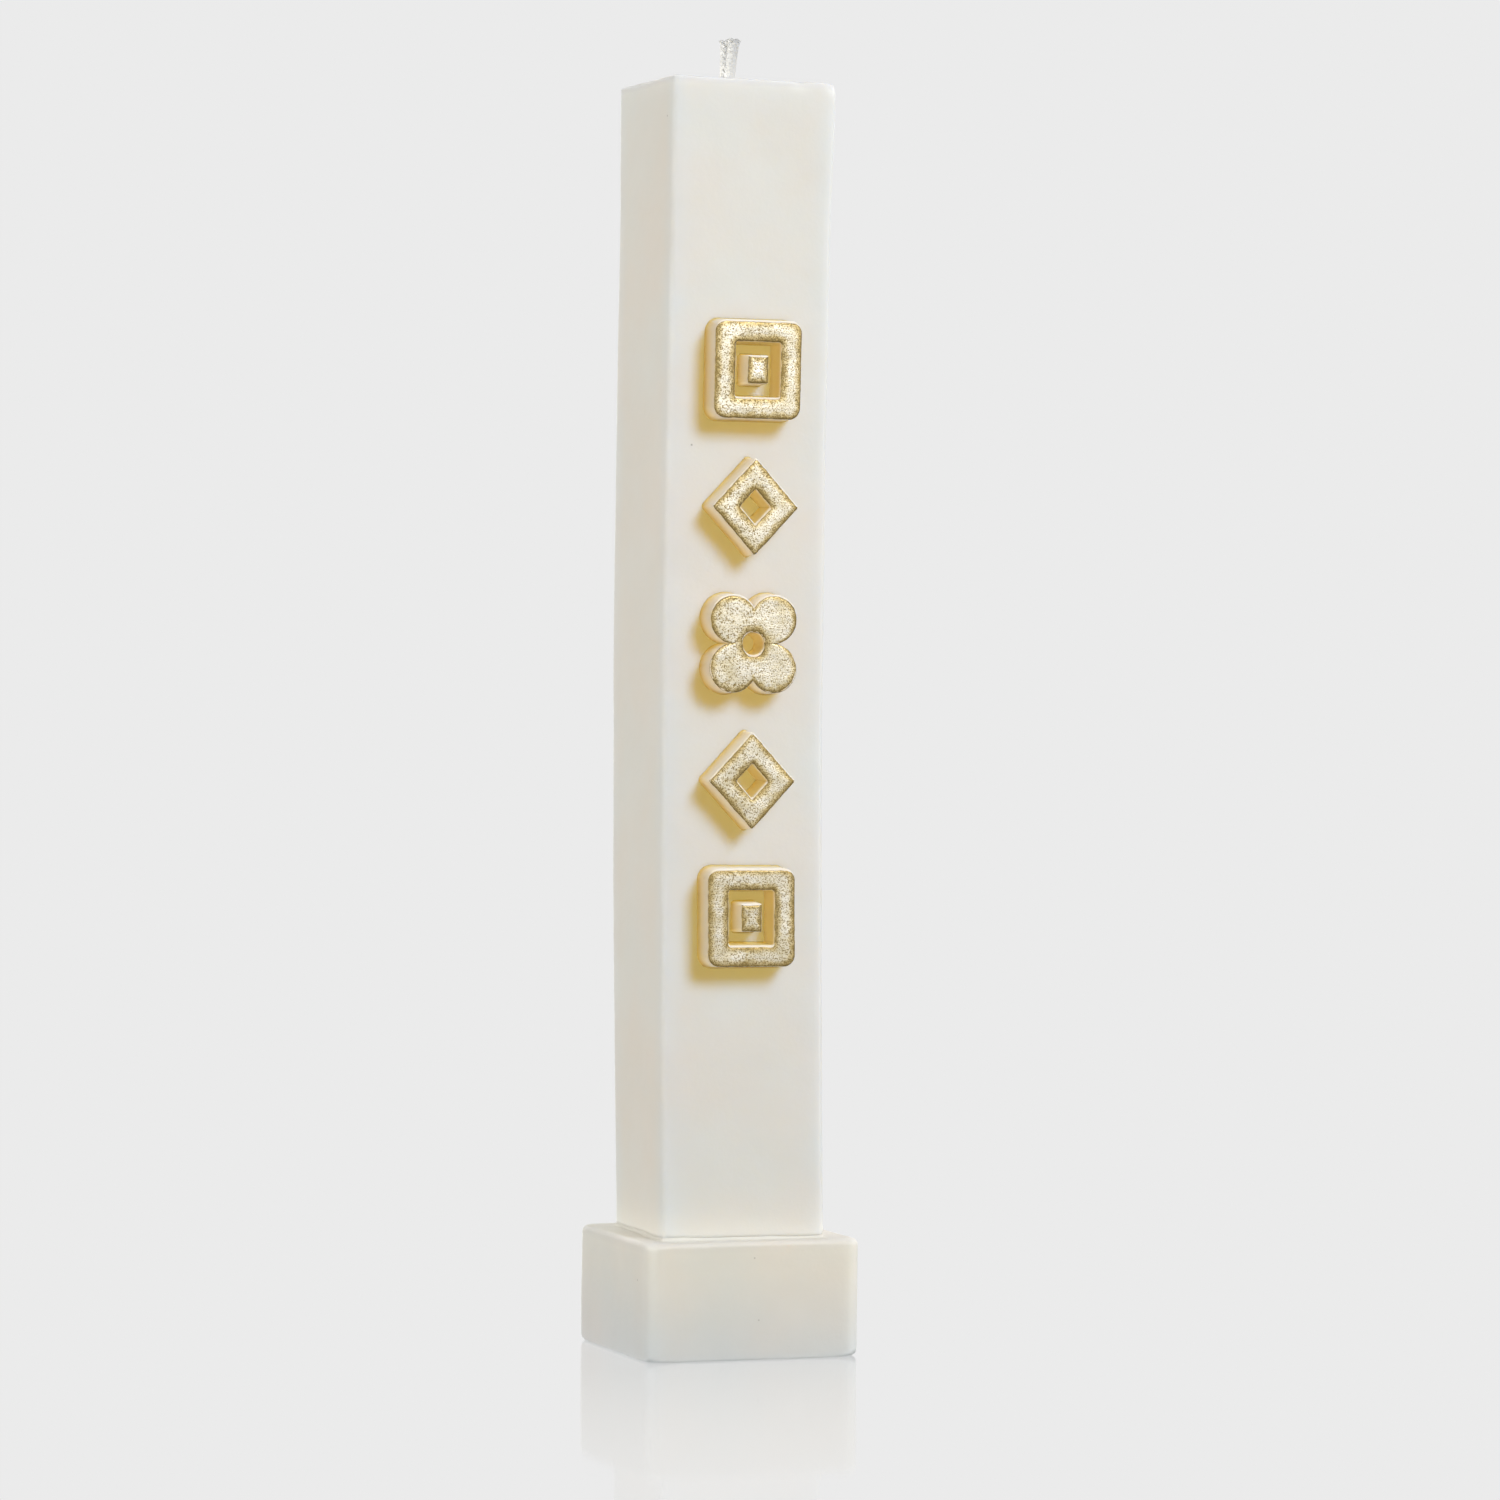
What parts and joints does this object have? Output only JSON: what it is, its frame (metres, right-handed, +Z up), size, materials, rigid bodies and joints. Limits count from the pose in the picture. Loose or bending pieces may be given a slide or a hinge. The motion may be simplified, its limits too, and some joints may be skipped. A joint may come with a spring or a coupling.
{
  "type": "pillar candle",
  "caption": "Square wax pillar candle on a wider square foot, with gilded relief ornaments down its front face and bare wicks at the top.",
  "frame": {"origin": "centre of the foot's underside", "axes": "+Z up along the candle, -Y out of the ornamented front face, +X to the right when facing it"},
  "size_m": [0.046, 0.046, 0.2705],
  "materials": {
    "ivory_wax": "satin candle wax, slightly translucent",
    "foot_wax": "satin candle wax, slightly translucent, greyer than the column",
    "cotton_wick": "braided cotton, waxed",
    "tinned_steel": "tinned sheet steel",
    "gilding": "granular gold leaf, burnished in the middle, darker at the rim"
  },
  "bodies": {
    "root": {"foot": "foot_wax", "column": "ivory_wax", "join_bead": "ivory_wax", "wick_tab": "tinned_steel", "wick_front": "cotton_wick", "wick_back": "cotton_wick", "square_frame_top": "ivory_wax", "square_stud_top": "ivory_wax", "lozenge_upper": "ivory_wax", "rosette": "ivory_wax", "lozenge_lower": "ivory_wax", "square_frame_bottom": "ivory_wax", "square_stud_bottom": "ivory_wax", "gilding_square_frame_top": "gilding", "gilding_square_stud_top": "gilding", "gilding_lozenge_upper": "gilding", "gilding_rosette": "gilding", "gilding_lozenge_lower": "gilding", "gilding_square_frame_bottom": "gilding", "gilding_square_stud_bottom": "gilding"}
  },
  "joints": []
}
